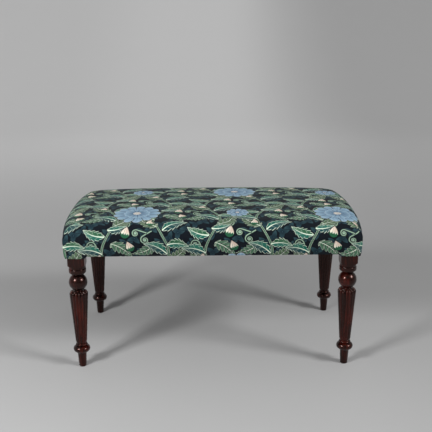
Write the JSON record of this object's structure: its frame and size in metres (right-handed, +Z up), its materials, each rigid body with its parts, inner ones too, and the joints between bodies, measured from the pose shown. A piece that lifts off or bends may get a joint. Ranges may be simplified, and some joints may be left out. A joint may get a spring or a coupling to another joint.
{
  "type": "footstool",
  "caption": "Rectangular upholstered footstool with a crowned, bowed cushion seat on turned and reeded wooden legs, for resting the feet or for sitting.",
  "frame": {"origin": "on the floor, under the middle of the seat", "axes": "+X to the right along the width, +Y from the front to the back, +Z up"},
  "size_m": [0.904, 0.496, 0.463],
  "materials": {
    "mahogany": "gloss",
    "frame_wood": "matte",
    "screw_steel": "satin",
    "webbing": "matte",
    "hessian": "matte",
    "foam": "matte",
    "wadding": "matte",
    "printed_cloth": "matte",
    "dust_cloth": "matte"
  },
  "bodies": {
    "root": {"leg_front_left": "mahogany", "leg_front_right": "mahogany", "leg_back_left": "mahogany", "leg_back_right": "mahogany", "dowel_front_left_long_lower": "frame_wood", "dowel_front_left_long_upper": "frame_wood", "dowel_front_left_short_lower": "frame_wood", "dowel_front_left_short_upper": "frame_wood", "dowel_front_right_long_lower": "frame_wood", "dowel_front_right_long_upper": "frame_wood", "dowel_front_right_short_lower": "frame_wood", "dowel_front_right_short_upper": "frame_wood", "dowel_back_left_long_lower": "frame_wood", "dowel_back_left_long_upper": "frame_wood", "dowel_back_left_short_lower": "frame_wood", "dowel_back_left_short_upper": "frame_wood", "dowel_back_right_long_lower": "frame_wood", "dowel_back_right_long_upper": "frame_wood", "dowel_back_right_short_lower": "frame_wood", "dowel_back_right_short_upper": "frame_wood", "corner_brace_front_left": "frame_wood", "corner_brace_front_right": "frame_wood", "corner_brace_back_left": "frame_wood", "corner_brace_back_right": "frame_wood", "screw_front_left_long": "screw_steel", "screw_front_left_short": "screw_steel", "screw_front_right_long": "screw_steel", "screw_front_right_short": "screw_steel", "screw_back_left_long": "screw_steel", "screw_back_left_short": "screw_steel", "screw_back_right_long": "screw_steel", "screw_back_right_short": "screw_steel", "centre_stretcher": "frame_wood", "rail_left": "frame_wood", "rail_front": "frame_wood", "rail_right": "frame_wood", "rail_back": "frame_wood", "webbing_long_1": "webbing", "webbing_long_2": "webbing", "webbing_long_3": "webbing", "webbing_cross_1": "webbing", "webbing_cross_2": "webbing", "webbing_cross_3": "webbing", "webbing_cross_4": "webbing", "webbing_cross_5": "webbing", "webbing_cross_6": "webbing", "webbing_cross_7": "webbing", "hessian": "hessian", "foam_pad": "foam", "wadding": "wadding", "cover": "printed_cloth", "dust_cloth": "dust_cloth"}
  },
  "joints": []
}
